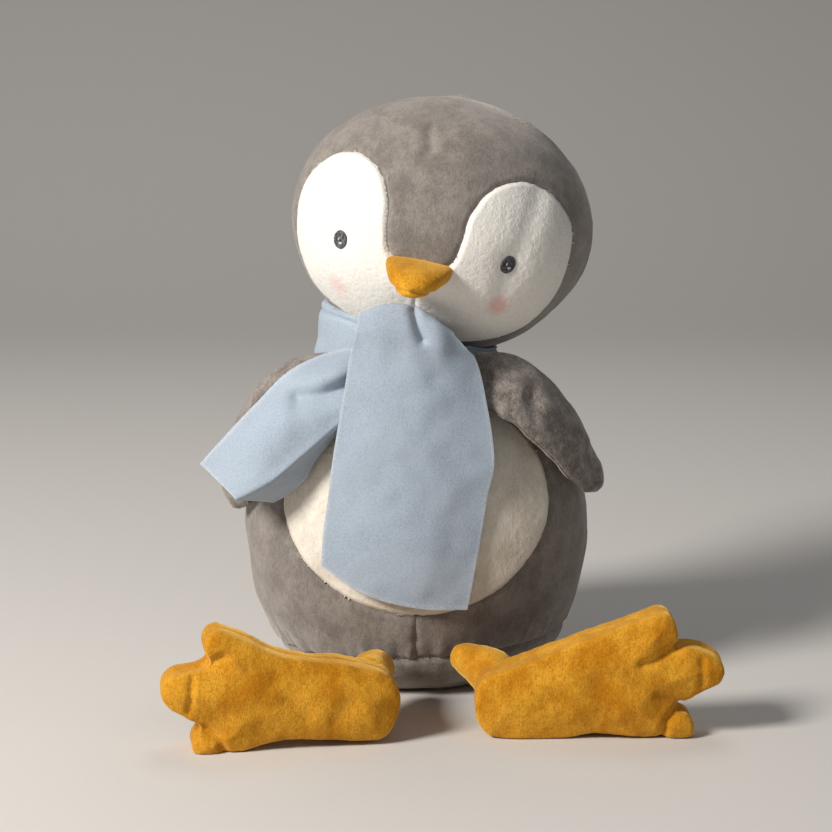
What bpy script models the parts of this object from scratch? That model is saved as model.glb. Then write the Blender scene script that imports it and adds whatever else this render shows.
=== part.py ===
"""Seated plush penguin with a fleece scarf, sewn from pile fabric over fibre filling.

Units are metres, +Z is up and the toy faces -Y. The origin is the middle of the flat
underside. Left and right are as seen by someone who faces the toy.
"""
import math

import bmesh
import bpy
from mathutils import Matrix, Vector

MM = 0.001

# Fabric and sewing
SKIN = 1.2 * MM              # pile fabric, backing and pile together
GAP = 0.3 * MM               # clearance between neighbouring pieces
REACH = 200.0 * MM           # cutters reach past everything
FRONT_CUT_Y = -3.1 * MM      # where a cutter that faces forward ends
SHARP_ANGLE = math.radians(40)

# Head: an ellipsoid that leans and turns on the neck
HEAD_HALF = Vector((64.2, 56.5, 53.2)) * MM
HEAD_CENTRE = Vector((11.4, -2.0, 195.5)) * MM
HEAD_LEAN = math.radians(9.5)
HEAD_TURN = math.radians(-8.5)
HEAD_POINTS = 26             # round the head's upright axis
HEAD_LAYERS = 15             # from chin to crown
NECK_PIVOT = Vector((2.0, 0.0, 139.2)) * MM
EYE_PLACE = (34.6 * MM, -7.6 * MM)
EYE_HALF = (3.1 * MM, 4.0 * MM)
EYE_POINTS = 16
EYE_LAYERS = [(0.5 * MM, 1.0), (0.9 * MM, 1.0), (1.1 * MM, 0.8)]   # lift off the face, share of size
# Right half of the white face, from the forehead peak round to the chin, in the head's own x and z
FACE_HALF_OUTLINE = [
    (0, -14), (7, -13), (13, -9), (15.5, 0), (17, 11), (23, 22), (34, 27), (46, 23.5),
    (56, 12), (59, -3), (57.5, -18), (50, -32), (36, -41), (19, -45), (0, -46),
]
CROWN_SEAM_Y = 4.1 * MM

# Beak: half width, half height and centre (y, z) of each section, root to tip, in head space
BEAK_SECTIONS = [
    (13.4, 7.6, -49.0, -15.0), (13.2, 7.8, -58.0, -16.0), (10.6, 7.0, -64.5, -18.0),
    (6.6, 5.0, -69.5, -20.0), (2.6, 2.4, -72.5, -21.4),
]
MOUTH_Z = -21.4 * MM
BEAK_POINTS = 14

# Body: height, half width and half depth of each section, underside to neck
BODY_SECTIONS = [
    (0, 40, 33), (2, 46, 39), (8, 53, 46), (18, 62, 53), (34, 69.5, 59.5), (52, 73, 62),
    (70, 74, 62.5), (88, 71.5, 60), (104, 66, 55), (117, 58, 48), (127, 48, 40),
    (133, 38, 32), (136, 28, 24),
]
BODY_POINTS = 28
BASE_SEAM_Z = 15.0 * MM
SIDE_SEAM_Y = 5.0 * MM
POUCH_TOP_Z = 30.0 * MM
BELLY_CENTRE_Z = 85.0 * MM
BELLY_HALF = (56.0 * MM, 45.5 * MM)
BELLY_POINTS = 36

# Wings: root, middle and tip of the centre line on each side
WING_LINES = {
    "left": [(-36, -38.5, 127), (-67, -31, 117), (-78, -17, 76)],
    "right": [(34.5, -40, 126.5), (61, -37, 117), (79.5, -22, 86)],
}
WING_HALF_WIDTH = 16.0 * MM
WING_HALF_THICK = 5.6 * MM
WING_TWIST = math.radians(30)
WING_POINTS = 16
WING_CUT_STATIONS = (-0.4, 0.0, 0.25, 0.5, 0.75, 1.0, 1.3)
# Place along the centre line, share of the width and share of the thickness, root to tip
WING_SECTIONS = [
    (-0.08, 0.26, 0.5), (-0.05, 0.38, 0.8), (0.0, 0.48, 1.0), (0.12, 0.68, 1.0), (0.3, 0.92, 1.0),
    (0.5, 1.0, 1.0), (0.7, 0.94, 0.95), (0.86, 0.74, 0.85), (0.96, 0.48, 0.7), (1.0, 0.26, 0.5),
]

# Feet: outline in the foot's own plane, heel at the origin and toes along +x
FOOT_OUTLINE = [
    (0, 0), (1.5, 8), (7, 13), (20, 15), (45, 17.5), (64, 21.5), (75, 25.5), (83, 26),
    (88, 22), (87, 16), (81, 11.5), (91, 10.5), (98.5, 6.5), (101, 0), (97.5, -6.5), (89, -9.5),
    (80, -11.5), (87, -13.5), (90, -18.5), (87, -24), (80, -25.5), (68, -23.5), (48, -19),
    (25, -15), (8, -13), (1.5, -8),
]
FOOT_HALF_THICK = 12.0 * MM
# Share of the half thickness and inset of the outline in mm, sole to upper
FOOT_EDGE = [(-1.0, 4.2), (-0.8, 1.8), (-0.35, 0.3), (0.35, 0.3), (0.8, 1.8), (1.0, 4.2)]
ANKLE_FROM_HEEL = 12.0 * MM
# Heel place (x, y), slope of the centre line and turn about the vertical, in degrees
FOOT_POSES = {
    "left": {"heel": (-6.5, -98.0), "rise": 2.5, "swing": 9.0},
    "right": {"heel": (22.5, -92.0), "rise": 7.9, "swing": 0.0},
}
HIPS = {"left": (-15.0, -59.5, 18.0), "right": (18.0, -59.5, 18.5)}
LEG_RADIUS = 7.2 * MM
LEG_DOME_DEPTH = 5.0 * MM
LEG_DOME_ANGLES = (math.radians(70), math.radians(40))
LEG_POINTS = 12

# Scarf: a ring round the neck and two loose ends
COLLAR_RADII = (36.0 * MM, 34.5 * MM)
COLLAR_HALF_WALL = 2.2 * MM
COLLAR_POINTS = 24
COLLAR_WALL_POINTS = 6
COLLAR_MIDDLE_Z = 141.5 * MM
COLLAR_LEAN = 2.5 * MM           # how much higher the ring's left side sits
COLLAR_HALF_HEIGHT = 5.4 * MM
COLLAR_HEIGHT_CHANGE = 1.4 * MM
FLEECE = 2.4 * MM
# Left and right edge points (x, z) of the front end, from under the chin to the hem
FRONT_END_EDGES = [
    ((-21, 163), (-2, 163)), ((-24, 157), (14, 157)), ((-26, 150), (22, 149)),
    ((-28.5, 133), (27, 132)), ((-33, 110), (32, 105)), ((-36, 88), (29, 88)),
    ((-38, 72), (25.5, 66)), ((-38.5, 61), (21, 43.5)),
]
FRONT_END_PIVOT = (0.0, -50.0, 158.0)
FRONT_END_COLUMNS = 5
FRONT_END_CLEARANCE = 1.2 * MM
FRONT_END_LEAVES_BELLY = 104.0 * MM
FRONT_END_FREE_LENGTH = 46.0 * MM
FRONT_END_BELLY_Y = -58.5 * MM
FRONT_END_CHIN_Y = -52.5 * MM
# Upper edge and lower edge points (x, y, z) of the side end, from the neck to its cut end
SIDE_END_EDGES = [
    ((-36, -46, 143), (-33, -50, 122)), ((-50, -47, 138), (-42, -53, 113)),
    ((-66, -45, 124), (-55, -53, 102)), ((-80, -40, 110), (-66, -50, 94)),
    ((-90, -35, 98), (-74, -46, 88)),
]
SIDE_END_COLUMNS = 4
SIDE_END_THICK = 4.0 * MM
SIDE_END_BULGE = 3.0 * MM
SIDE_END_PIVOT = (-34.0, -46.0, 133.0)

# Sections of a wad of neck filling: share of its radius, height as a share of its half height
NECK_WAD_SHAPE = [(0.6, -1.0), (1.0, -0.4), (1.0, 0.4), (0.6, 1.0)]
NECK_WAD_POINTS = 16
# Radius, half height and height of the middle of each wad
NECK_WADS = {"lower": (9.0 * MM, 0.4 * MM, 138.3 * MM), "upper": (6.0 * MM, 0.6 * MM, 140.4 * MM)}
SIDES = (("left", -1), ("right", 1))

COLOURS = {
    "grey_pile": ((0.33, 0.29, 0.26), 0.95),
    "white_pile": ((0.86, 0.84, 0.79), 0.95),
    "cream_pile": ((0.80, 0.76, 0.68), 0.95),
    "mustard_pile": ((0.62, 0.31, 0.02), 0.95),
    "blue_fleece": ((0.47, 0.55, 0.66), 0.95),
    "charcoal_thread": ((0.04, 0.04, 0.05), 0.6),
    "fibre_filling": ((0.85, 0.85, 0.85), 1.0),
    "pellet_bag": ((0.75, 0.75, 0.72), 0.9),
}


def make_material(name):
    colour, roughness = COLOURS[name]
    material = bpy.data.materials.new(name)
    material.use_nodes = True
    shader = material.node_tree.nodes["Principled BSDF"]
    shader.inputs["Base Color"].default_value = (*colour, 1.0)
    shader.inputs["Roughness"].default_value = roughness
    shader.inputs["Metallic"].default_value = 0.0
    return material


def make_frame(name, place, turn=None, parent=None):
    """An empty that carries the pieces of one body, on its joint's axis."""
    frame = bpy.data.objects.new(name, None)
    bpy.context.collection.objects.link(frame)
    frame.parent = parent
    frame.location = place
    if turn is not None:
        frame.rotation_euler = turn.to_euler()
    return frame


def add_piece(name, mesh, material, parent=None):
    """Name a mesh as one piece, shade it smooth and hang it on its body's frame."""
    mesh.materials.clear()
    mesh.materials.append(MATERIALS[material])
    mesh.shade_smooth()
    mesh.set_sharp_from_angle(angle=SHARP_ANGLE)
    piece = bpy.data.objects.new(name, mesh)
    bpy.context.collection.objects.link(piece)
    piece.parent = parent


def finish_mesh(shape):
    """Turn a bmesh into a closed mesh of triangles whose faces point out."""
    bmesh.ops.triangulate(shape, faces=shape.faces)
    bmesh.ops.recalc_face_normals(shape, faces=shape.faces)
    mesh = bpy.data.meshes.new("form")
    shape.to_mesh(mesh)
    shape.free()
    return mesh


def loft(rings):
    """Bridge a row of closed point loops and cap both ends."""
    shape = bmesh.new()
    loops = []
    for ring in rings:
        verts = [shape.verts.new(point) for point in ring]
        loops.append([shape.edges.new((verts[i - 1], verts[i])) for i in range(len(verts))])
    for low, high in zip(loops, loops[1:]):
        bmesh.ops.bridge_loops(shape, edges=low + high)
    for loop in (loops[0], loops[-1]):
        bmesh.ops.contextual_create(shape, geom=loop)
    return finish_mesh(shape)


def ellipse_ring(centre, side, up, count):
    """Points of an ellipse from its centre and its two half-axis vectors."""
    steps = [2 * math.pi * i / count for i in range(count)]
    return [centre + side * math.cos(a) + up * math.sin(a) for a in steps]


def block(low, high):
    shape = bmesh.new()
    bmesh.ops.create_cube(shape, size=1.0)
    low, high = Vector(low), Vector(high)
    bmesh.ops.scale(shape, vec=high - low, verts=shape.verts)
    bmesh.ops.translate(shape, vec=(low + high) / 2, verts=shape.verts)
    return finish_mesh(shape)


def prism(outline, y_from, y_to):
    """Extrude a closed (x, z) outline along y."""
    shape = bmesh.new()
    face = shape.faces.new([shape.verts.new((x, y_from, z)) for x, z in outline])
    moved = bmesh.ops.extrude_face_region(shape, geom=[face])["geom"]
    verts = [item for item in moved if isinstance(item, bmesh.types.BMVert)]
    bmesh.ops.translate(shape, vec=(0, y_to - y_from, 0), verts=verts)
    return finish_mesh(shape)


def offset_form(mesh, distance):
    """A copy of a form with every point moved out along its normal."""
    shape = bmesh.new()
    shape.from_mesh(mesh)
    shape.normal_update()
    for vert in shape.verts:
        vert.co += vert.normal * distance
    return finish_mesh(shape)


def grow_outline(outline, distance):
    """Move each point of a closed outline out, square to the line between its neighbours."""
    area = sum(a[0] * b[1] - b[0] * a[1] for a, b in zip(outline, outline[1:] + outline[:1]))
    side = 1 if area > 0 else -1
    grown = []
    for i, (x, z) in enumerate(outline):
        before, after = outline[i - 1], outline[(i + 1) % len(outline)]
        along = Vector((after[0] - before[0], after[1] - before[1])).normalized()
        grown.append((x + along[1] * distance * side, z - along[0] * distance * side))
    return grown


def mirrored_outline(half):
    """Close a half outline with its mirror image in x."""
    right = [(x * MM, z * MM) for x, z in half]
    left = [(-x, z) for x, z in reversed(right) if x > 0]
    return right + left


def carve(mesh, tool, operation):
    """The mesh that one exact Boolean leaves."""
    body = bpy.data.objects.new("body", mesh)
    cutter = bpy.data.objects.new("cutter", tool)
    for item in (body, cutter):
        bpy.context.collection.objects.link(item)
    cut = body.modifiers.new("cut", "BOOLEAN")
    cut.operation = operation
    cut.solver = "EXACT"
    cut.object = cutter
    graph = bpy.context.evaluated_depsgraph_get()
    result = bpy.data.meshes.new_from_object(body.evaluated_get(graph))
    bpy.data.objects.remove(body)
    bpy.data.objects.remove(cutter)
    return result


def skin_panel(outer, inner, keeps, cuts):
    """One sewn panel: the skin between two forms, inside each keep and outside each cut."""
    panel = outer
    for keep in keeps:
        panel = carve(panel, keep, "INTERSECT")
    for cut in cuts:
        panel = carve(panel, cut, "DIFFERENCE")
    return carve(panel, inner, "DIFFERENCE")


def half_space(axis, low, high):
    """A large block between two values on one axis."""
    lows, highs = [-2 * REACH] * 3, [2 * REACH] * 3
    lows[axis], highs[axis] = low, high
    return block(lows, highs)


def body_radii(z):
    """Half width and half depth of the body at a height."""
    rows = [(h * MM, w * MM, d * MM) for h, w, d in BODY_SECTIONS]
    for low, high in zip(rows, rows[1:]):
        if z <= high[0]:
            t = max(0.0, (z - low[0]) / (high[0] - low[0]))
            return low[1] + (high[1] - low[1]) * t, low[2] + (high[2] - low[2]) * t
    return rows[-1][1], rows[-1][2]


def body_front(x, z):
    """y of the body's front surface."""
    half_width, half_depth = body_radii(z)
    return -half_depth * math.sqrt(max(0.0, 1 - (x / half_width) ** 2))


def head_front(x, z):
    """y of the head's front surface, in head space."""
    rest = 1 - (x / HEAD_HALF.x) ** 2 - (z / HEAD_HALF.z) ** 2
    return -HEAD_HALF.y * math.sqrt(max(0.0, rest))


def head_form():
    shape = bmesh.new()
    bmesh.ops.create_uvsphere(shape, u_segments=HEAD_POINTS, v_segments=HEAD_LAYERS, radius=1.0)
    bmesh.ops.scale(shape, vec=HEAD_HALF, verts=shape.verts)
    return finish_mesh(shape)


def make_head(head):
    outer = head_form()
    inner = offset_form(outer, -SKIN)
    face = mirrored_outline(FACE_HALF_OUTLINE)
    face_hole = prism(grow_outline(face, GAP), -REACH, FRONT_CUT_Y)
    front = half_space(1, -REACH, CROWN_SEAM_Y)
    back = half_space(1, CROWN_SEAM_Y + GAP, REACH)
    front_panel = skin_panel(outer, inner, [front], [face_hole])
    add_piece("head_front_panel", front_panel, "grey_pile", head)
    for side, half in SIDE_HALVES.items():
        white = skin_panel(outer, inner, [prism(face, -REACH, FRONT_CUT_Y), half], [])
        add_piece("face_" + side + "_panel", white, "white_pile", head)
        grey = skin_panel(outer, inner, [back, half], [])
        add_piece("head_back_" + side + "_panel", grey, "grey_pile", head)
    add_piece("head_filling", offset_form(inner, -GAP), "fibre_filling", head)


def make_eye(name, sign, head):
    """A small raised oval of stitches that follows the face."""
    rings = []
    for lift, share in EYE_LAYERS:
        ring = []
        for step in range(EYE_POINTS):
            angle = 2 * math.pi * step / EYE_POINTS
            x = sign * EYE_PLACE[0] + EYE_HALF[0] * share * math.cos(angle)
            z = EYE_PLACE[1] + EYE_HALF[1] * share * math.sin(angle)
            ring.append(Vector((x, head_front(x, z) - lift, z)))
        rings.append(ring)
    add_piece(name, loft(rings), "charcoal_thread", head)


def make_beak(head):
    """Two padded halves that meet at the mouth seam."""
    rings = []
    for half_width, half_height, y, z in BEAK_SECTIONS:
        centre = Vector((0, y, z)) * MM
        side = Vector((half_width, 0, 0)) * MM
        up = Vector((0, 0, half_height)) * MM
        rings.append(ellipse_ring(centre, side, up, BEAK_POINTS))
    form = loft(rings)
    face = offset_form(head_form(), GAP)
    for name, low, high in (("beak_upper", MOUTH_Z + GAP / 2, REACH),
                            ("beak_lower", -REACH, MOUTH_Z - GAP / 2)):
        half = carve(form, half_space(2, low, high), "INTERSECT")
        add_piece(name, carve(half, face, "DIFFERENCE"), "mustard_pile", head)


def make_neck_filling(level_name, frame):
    """A wad of filling that the neck bends on, placed from its frame's pivot."""
    radius, half_height, centre_z = NECK_WADS[level_name]
    rings = []
    for share, level in NECK_WAD_SHAPE:
        centre = Vector((0, 0, centre_z + half_height * level - NECK_PIVOT.z))
        rings.append(ellipse_ring(centre, Vector((radius * share, 0, 0)),
                                  Vector((0, radius * share, 0)), NECK_WAD_POINTS))
    add_piece("neck_filling_" + level_name, loft(rings), "fibre_filling", frame)


def make_body():
    rings = []
    for z, half_width, half_depth in BODY_SECTIONS:
        side = Vector((half_width, 0, 0)) * MM
        depth = Vector((0, half_depth, 0)) * MM
        rings.append(ellipse_ring(Vector((0, 0, z)) * MM, side, depth, BODY_POINTS))
    outer = loft(rings)
    inner = offset_form(outer, -SKIN)
    belly = []
    for step in range(BELLY_POINTS):
        angle = 2 * math.pi * (step + 0.5) / BELLY_POINTS
        belly.append((BELLY_HALF[0] * math.cos(angle),
                      BELLY_CENTRE_Z + BELLY_HALF[1] * math.sin(angle)))
    belly_hole = prism(grow_outline(belly, GAP), -REACH, FRONT_CUT_Y)
    above_base = half_space(2, BASE_SEAM_Z + GAP, REACH)
    front = half_space(1, -REACH, SIDE_SEAM_Y)
    back = half_space(1, SIDE_SEAM_Y + GAP, REACH)
    belly_panel = skin_panel(outer, inner, [prism(belly, -REACH, FRONT_CUT_Y)], [])
    add_piece("belly_panel", belly_panel, "cream_pile")
    base_panel = skin_panel(outer, inner, [half_space(2, -REACH, BASE_SEAM_Z)], [])
    add_piece("base_panel", base_panel, "grey_pile")
    for side, half in SIDE_HALVES.items():
        front_panel = skin_panel(outer, inner, [front, above_base, half], [belly_hole])
        add_piece("body_front_" + side + "_panel", front_panel, "grey_pile")
        back_panel = skin_panel(outer, inner, [back, above_base, half], [])
        add_piece("body_back_" + side + "_panel", back_panel, "grey_pile")
    core = offset_form(inner, -GAP)
    pouch = carve(core, half_space(2, -REACH, POUCH_TOP_Z), "INTERSECT")
    add_piece("pellet_pouch", pouch, "pellet_bag")
    filling = carve(core, half_space(2, POUCH_TOP_Z + GAP, REACH), "INTERSECT")
    add_piece("body_filling", filling, "fibre_filling")


def wing_station(side, sign, t):
    """Centre, width direction and outward direction of a wing at t along its line."""
    root, middle, tip = (Vector(point) * MM for point in WING_LINES[side])
    centre = root * (1 - t) ** 2 + middle * 2 * t * (1 - t) + tip * t * t
    along = ((middle - root) * (1 - t) + (tip - middle) * t).normalized()
    across = (Vector((0, 1, 0)) - along * along.y).normalized()
    up = along.cross(across) * sign
    width = across * math.cos(WING_TWIST) + up * math.sin(WING_TWIST)
    outward = up * math.cos(WING_TWIST) - across * math.sin(WING_TWIST)
    return centre - root, width, outward


def wing_form(side, sign):
    """A flat flipper along a curved centre line, in its shoulder's frame."""
    rings = []
    for t, width_share, thick_share in WING_SECTIONS:
        centre, width, outward = wing_station(side, sign, t)
        rings.append(ellipse_ring(centre, width * WING_HALF_WIDTH * width_share,
                                  outward * WING_HALF_THICK * thick_share, WING_POINTS))
    return loft(rings)


def wing_half(side, sign, direction):
    """Everything on one face of the wing's middle surface, for cutting its panels."""
    rings = []
    for t in WING_CUT_STATIONS:
        centre, width, outward = wing_station(side, sign, t)
        wide = width * WING_HALF_WIDTH * 2
        near = centre + outward * direction * GAP / 2
        far = centre + outward * direction * WING_HALF_THICK * 3
        rings.append([near - wide, near + wide, far + wide, far - wide])
    return loft(rings)


def make_wing(side, sign, frame):
    """Outer and inner panels sewn round a thin pad of filling."""
    outer = wing_form(side, sign)
    inner = offset_form(outer, -SKIN)
    for place, direction in (("outer", 1), ("inner", -1)):
        panel = skin_panel(outer, inner, [wing_half(side, sign, direction)], [])
        add_piece("wing_" + side + "_" + place + "_panel", panel, "grey_pile", frame)
    add_piece("wing_" + side + "_filling", offset_form(inner, -GAP), "fibre_filling", frame)


def foot_form(sign):
    """The padded foot outline with rounded edges, in its ankle's frame."""
    outline = [(x * MM, z * MM) for x, z in FOOT_OUTLINE]
    rings = []
    for level, inset in FOOT_EDGE:
        rim = grow_outline(outline, -inset * MM)
        rings.append([Vector((sign * (x - ANKLE_FROM_HEEL), level * FOOT_HALF_THICK, z))
                      for x, z in rim])
    return loft(rings)


def make_foot(side, sign, frame):
    """Sole and upper panels sewn round a flat pad of filling."""
    outer = foot_form(sign)
    inner = offset_form(outer, -SKIN)
    for place, low, high in (("sole", -REACH, -GAP / 2), ("upper", GAP / 2, REACH)):
        panel = skin_panel(outer, inner, [half_space(1, low, high)], [])
        add_piece("foot_" + side + "_" + place + "_panel", panel, "mustard_pile", frame)
    add_piece("foot_" + side + "_filling", offset_form(inner, -GAP), "fibre_filling", frame)


def leg_form(radius, start, end, axis):
    """A tube from its domed hip end to a square end at the ankle."""
    side = axis.cross(Vector((0, 0, 1))).normalized() * radius
    up = Vector((0, 0, radius))
    rings = []
    for angle in LEG_DOME_ANGLES:
        centre = start + axis * LEG_DOME_DEPTH * (radius / LEG_RADIUS) * math.sin(angle)
        rings.append(ellipse_ring(centre, side * math.cos(angle), up * math.cos(angle), LEG_POINTS))
    for t in (0.0, 1.0):
        rings.append(ellipse_ring(start.lerp(end, t), side, up, LEG_POINTS))
    return loft(rings)


def make_leg(side, end, axis, frame):
    """One rolled panel, open at the ankle, round a plug of filling."""
    start = Vector((0, 0, 0))
    outer = leg_form(LEG_RADIUS, start, end, axis)
    past_end = end + (end - start).normalized() * SKIN * 4
    inner = leg_form(LEG_RADIUS - SKIN, start, past_end, axis)
    skin = carve(outer, inner, "DIFFERENCE")
    add_piece("leg_" + side + "_panel", skin, "mustard_pile", frame)
    filling = leg_form(LEG_RADIUS - SKIN - GAP, start, end, axis)
    add_piece("leg_" + side + "_filling", filling, "fibre_filling", frame)


def make_limb(side, sign):
    """Leg and foot of one side, on a hip frame and an ankle frame."""
    pose = FOOT_POSES[side]
    turn = (Matrix.Rotation(math.radians(pose["swing"]), 3, "Z")
            @ Matrix.Rotation(math.radians(-sign * pose["rise"]), 3, "Y"))
    hip_place = Vector(HIPS[side]) * MM
    heel = Vector((*pose["heel"], 0)) * MM
    ankle_place = heel + turn @ Vector((sign * ANKLE_FROM_HEEL, 0, 0))
    ankle_place.z = -min((turn @ vert.co).z for vert in foot_form(sign).vertices)
    thickness_axis = turn @ Vector((0, 1, 0))
    hip = make_frame("hip_" + side, hip_place)
    ankle = make_frame("ankle_" + side, ankle_place - hip_place, turn, hip)
    leg_end = ankle_place + thickness_axis * (FOOT_HALF_THICK + GAP) - hip_place
    make_leg(side, leg_end, thickness_axis, hip)
    make_foot(side, sign, ankle)


def make_collar():
    """The turn of scarf round the neck, higher and taller on the side the head leans from."""
    rings = []
    for step in range(COLLAR_POINTS):
        angle = 2 * math.pi * step / COLLAR_POINTS
        out = Vector((COLLAR_RADII[0] * math.cos(angle), COLLAR_RADII[1] * math.sin(angle), 0))
        centre_z = COLLAR_MIDDLE_Z - COLLAR_LEAN * math.cos(angle)
        half_height = COLLAR_HALF_HEIGHT - COLLAR_HEIGHT_CHANGE * math.cos(angle)
        rings.append(ellipse_ring(out + Vector((0, 0, centre_z)),
                                  out.normalized() * COLLAR_HALF_WALL,
                                  Vector((0, 0, half_height)), COLLAR_WALL_POINTS))
    shape = bmesh.new()
    loops = []
    for ring in rings:
        verts = [shape.verts.new(point) for point in ring]
        loops.append([shape.edges.new((verts[i - 1], verts[i])) for i in range(len(verts))])
    for low, high in zip(loops, loops[1:] + loops[:1]):
        bmesh.ops.bridge_loops(shape, edges=low + high)
    add_piece("scarf_collar", finish_mesh(shape), "blue_fleece")


def cloth_section(front_row, back_row):
    """One closed section of a hanging strip, front row out and back row home."""
    return front_row + back_row[::-1]


def make_front_end(frame, pivot):
    """The scarf end that hangs from the chin over the belly."""
    rings = []
    for left, right in FRONT_END_EDGES:
        front_row, back_row = [], []
        for step in range(FRONT_END_COLUMNS + 1):
            t = step / FRONT_END_COLUMNS
            x = (left[0] * (1 - t) + right[0] * t) * MM
            z = (left[1] * (1 - t) + right[1] * t) * MM
            rise = min(1.0, max(0.0, (z - FRONT_END_LEAVES_BELLY) / FRONT_END_FREE_LENGTH))
            hang = FRONT_END_BELLY_Y * (1 - rise) + FRONT_END_CHIN_Y * rise
            y = min(body_front(x, z) - FRONT_END_CLEARANCE, hang)
            back_row.append(Vector((x, y, z)) - pivot)
            front_row.append(Vector((x, y - FLEECE, z)) - pivot)
        rings.append(cloth_section(front_row, back_row))
    add_piece("scarf_front_end", loft(rings), "blue_fleece", frame)


def make_side_end(frame, pivot):
    """The folded scarf end that lies on the left wing."""
    rings = []
    for upper, lower in SIDE_END_EDGES:
        top, bottom = Vector(upper) * MM - pivot, Vector(lower) * MM - pivot
        front_row, back_row = [], []
        for step in range(SIDE_END_COLUMNS + 1):
            t = step / SIDE_END_COLUMNS
            bulge = Vector((0, -SIDE_END_BULGE * math.sin(math.pi * t), 0))
            point = top.lerp(bottom, t) + bulge
            front_row.append(point)
            back_row.append(point + Vector((0, SIDE_END_THICK, 0)))
        rings.append(cloth_section(front_row, back_row))
    add_piece("scarf_side_end", loft(rings), "blue_fleece", frame)


def make_toy():
    make_body()
    make_collar()
    neck_lower = make_frame("neck_side_bend", NECK_PIVOT)
    neck_upper = make_frame("neck_nod", (0, 0, 0), None, neck_lower)
    lean = Matrix.Rotation(HEAD_LEAN, 3, "Y") @ Matrix.Rotation(HEAD_TURN, 3, "Z")
    head = make_frame("head_turn", HEAD_CENTRE - NECK_PIVOT, lean, neck_upper)
    make_neck_filling("lower", neck_lower)
    make_neck_filling("upper", neck_upper)
    make_head(head)
    make_beak(head)
    for side, sign in SIDES:
        make_eye("eye_" + side, sign, head)
        shoulder_place = Vector(WING_LINES[side][0]) * MM
        shoulder = make_frame("shoulder_" + side, shoulder_place)
        make_wing(side, sign, shoulder)
        make_limb(side, sign)
        if side == "left":
            side_pivot = Vector(SIDE_END_PIVOT) * MM
            side_frame = make_frame("scarf_side", side_pivot - shoulder_place, None, shoulder)
            make_side_end(side_frame, side_pivot)
    front_pivot = Vector(FRONT_END_PIVOT) * MM
    make_front_end(make_frame("scarf_front", front_pivot), front_pivot)


for old in list(bpy.data.objects):
    bpy.data.objects.remove(old)
MATERIALS = {name: make_material(name) for name in COLOURS}
SIDE_HALVES = {
    "left": half_space(0, -REACH, -GAP / 2),
    "right": half_space(0, GAP / 2, REACH),
}
make_toy()
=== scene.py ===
"""Looks of a seated plush penguin: sewn pile panels, stuffed limbs and a fleece scarf."""

import math

import bmesh
import bpy
import numpy as np
from mathutils import Matrix, Vector


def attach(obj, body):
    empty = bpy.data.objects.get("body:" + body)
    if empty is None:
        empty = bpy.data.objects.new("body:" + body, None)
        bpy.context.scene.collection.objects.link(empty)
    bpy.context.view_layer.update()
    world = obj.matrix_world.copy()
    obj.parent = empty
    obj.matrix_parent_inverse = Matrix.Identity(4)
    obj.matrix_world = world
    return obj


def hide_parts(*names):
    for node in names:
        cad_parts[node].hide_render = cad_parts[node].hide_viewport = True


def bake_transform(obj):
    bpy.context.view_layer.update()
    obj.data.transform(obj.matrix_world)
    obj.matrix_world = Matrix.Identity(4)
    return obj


MM = 0.001

# Thickness of each cloth, in mm
PILE_WALL = 1.2
WING_WALL = 1.0
COLLAR_WALL = 1.8
SCARF_WALL = 2.0
HEM_ROUNDING = 0.5
# How far each pad of filling stays inside its skin, in mm
HEAD_PAD_INSET = 3.2
BODY_PAD_INSET = 3.0
WING_PAD_INSET = 2.4

# Head, in its own space: x to the toy's left hand as seen from the front, y back, z up
HEAD_HALF = np.array((64.2, 56.5, 53.2))
HEAD_CENTRE = np.array((11.4, -2.0, 195.5))
HEAD_LEAN = math.radians(9.5)
HEAD_TURN = math.radians(-8.5)
FACE_HALF = [
    (0, -14), (7, -13), (13, -9), (15.5, 0), (17, 11), (23, 22), (34, 27), (46, 23.5),
    (56, 12), (58.6, -3), (56, -18), (47.5, -31.5), (35, -40), (19, -44.5), (0, -46),
]
HEAD_PANELS = (("head_front", "grey"), ("head_back_left", "grey"), ("head_back_right", "grey"),
               ("face_left", "white"), ("face_right", "white"))
CROWN_SEAM = 4.1
CROWN_POINT = [(-1.5, 2.9, 53.4), (-1.5, 3.0, 53.5)]
JAW_FLAT = [(60, -10, -8), (58, -8, -26)]
FOREHEAD_DENT = [(-7.6, -35.5, 40), (-6.5, -39.5, 37.5), (-5, -43.3, 34)]
FOREHEAD_CURVE = [(-5, -43.3, 34), (-7, -47.5, 28), (-9, -50.5, 22)]
FOREHEAD_RIDGE = [(-4, -8, 53), (-7, -22, 48), (-11, -32, 42)]
FOREHEAD_HOLLOW = [(3, -10, 52.5), (2, -25, 47), (-1, -36, 40)]
CHEEK_FOLD = [(41, -34.7, 24.6), (39.4, -43.2, 10.5), (36.9, -46, -4.1), (33.7, -44.5, -17.2),
              (31.9, -40.2, -26.4)]
EYES = {"left": (-34.6, -8.7), "right": (34.6, -6.5)}
EYE_HALF = (2.95, 3.8)
EYE_TILT = {"left": 8, "right": -14}
# Pale stitches in each eye: x and z from its middle, half width and half height
GLINTS = {"a": (0.5, -1.3, 0.75, 0.5), "b": (-0.5, 0.3, 0.35, 0.6)}
BLUSH = {"left": (-33.5, -37.6, -28.4), "right": (32.9, -41.3, -24.0)}
# Half width, rise above and drop below its centre, and that centre's y and z, root to tip
BEAK_LINE = [
    (13.4, 2.4, 9.5, -47.0, -12.0), (13.6, 2.8, 9.8, -54.0, -12.4), (12.6, 3.2, 9.6, -60.0, -13.6),
    (10.2, 3.6, 8.2, -66.0, -15.8), (6.6, 3.4, 5.6, -70.5, -18.2), (3.0, 2.0, 2.8, -73.0, -20.2),
]
MOUTH_Z = -21.4

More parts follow.
